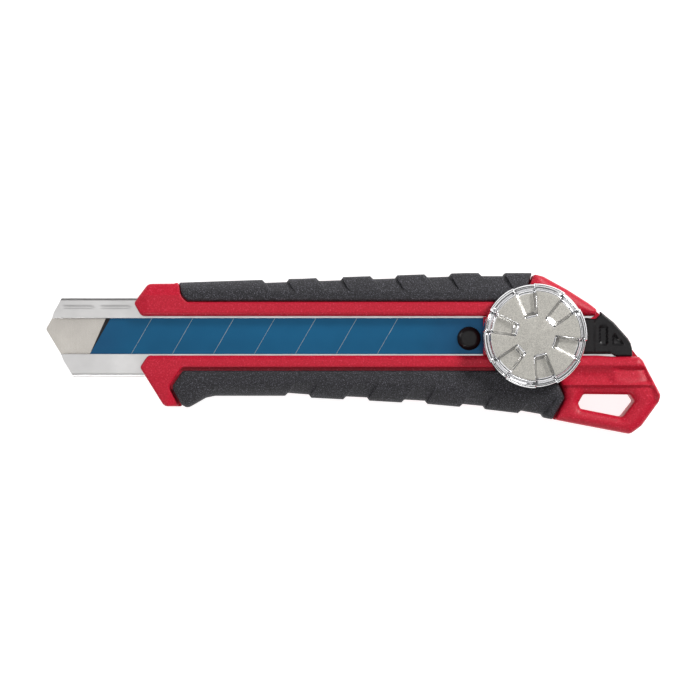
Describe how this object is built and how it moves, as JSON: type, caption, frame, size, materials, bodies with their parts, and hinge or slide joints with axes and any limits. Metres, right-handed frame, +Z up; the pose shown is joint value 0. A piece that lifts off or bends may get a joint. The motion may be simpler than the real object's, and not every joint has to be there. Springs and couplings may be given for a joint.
{
  "type": "snap-off knife",
  "caption": "Snap-off blade utility knife with a screw-lock wheel, steel blade channel, two-shell plastic handle, rubber grips and a removable end cap.",
  "frame": {"origin": "middle of the handle's back face, at the centre of the whole knife's outline seen from the wheel side", "axes": "the knife lies on its back: +Z up through the locking wheel, +X along the handle towards the tail (the blade comes out towards -X), +Y towards the spine (the cutting edge faces -Y)"},
  "size_m": [0.1496, 0.0392, 0.0184],
  "materials": {
    "red_plastic": "fine moulded texture",
    "black_rubber": "matt, fine grain",
    "channel_steel": "rolled bright steel",
    "blue_blade": "blue coating, satin",
    "black_steel": "black oxide",
    "black_plastic": "moulded",
    "zinc_steel": "zinc plated",
    "spring_steel": "hardened strip",
    "chrome": "polished walls, satin faces"
  },
  "bodies": {
    "handle": {"front_shell": "red_plastic", "back_shell": "red_plastic", "upper_grip_front": "black_rubber", "lower_grip_front": "black_rubber", "upper_grip_back": "black_rubber", "lower_grip_back": "black_rubber", "blade_channel": "channel_steel", "shell_screws": "zinc_steel"},
    "slider": {"slider_carriage": "black_plastic", "slider_block": "red_plastic", "blade_peg": "black_steel", "blade_spring": "spring_steel", "blade": "blue_blade"},
    "wheel": {"lock_wheel": "chrome", "wheel_stud": "zinc_steel", "stud_clip": "spring_steel", "friction_washer": "zinc_steel"},
    "clamp": {"clamp_plate": "zinc_steel"},
    "cap": {"end_cap": "black_plastic"}
  },
  "joints": [
    {"name": "slider_slide", "type": "slide", "parent": "handle", "child": "slider", "axis": [-1, 0, 0], "range_m": [0, 0.08]},
    {"name": "wheel_turn", "type": "hinge", "parent": "slider", "child": "wheel", "pos_m": [0.04395, 0.00425, 0.015], "axis": [0, 0, 1], "range_deg": [0, 360]},
    {"name": "clamp_drop", "type": "slide", "parent": "slider", "child": "clamp", "axis": [0, 0, -1], "range_m": [0, 0.00081]},
    {"name": "end_cap_pull", "type": "slide", "parent": "handle", "child": "cap", "axis": [1, 0, 0], "range_m": [0, 0.03]}
  ],
  "couplings": [
    {"joint": "clamp_drop", "follows": "wheel_turn", "m_per_rad": 0.00012732}
  ]
}
